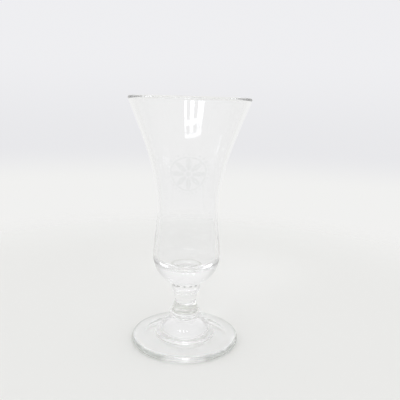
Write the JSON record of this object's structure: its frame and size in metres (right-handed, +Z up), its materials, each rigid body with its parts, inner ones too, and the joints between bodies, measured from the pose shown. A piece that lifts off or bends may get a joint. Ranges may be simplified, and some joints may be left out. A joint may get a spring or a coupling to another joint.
{
  "type": "shot glass",
  "caption": "Clear footed shot glass: a flared bowl with a heavy rounded base, a short waisted stem with a collar and a ring, and a domed round foot.",
  "frame": {"origin": "centre of the foot, on the surface that the glass stands on", "axes": "+Z up along the axis of the glass; the glass is round, so X and Y are alike"},
  "size_m": [0.05, 0.05, 0.105],
  "materials": {
    "clear_glass": "fire-polished, clear and nearly colourless"
  },
  "bodies": {
    "root": {"bowl": "clear_glass", "neck_collar": "clear_glass", "stem": "clear_glass", "stem_ring": "clear_glass", "foot_boss": "clear_glass", "foot_disc": "clear_glass"}
  },
  "joints": []
}
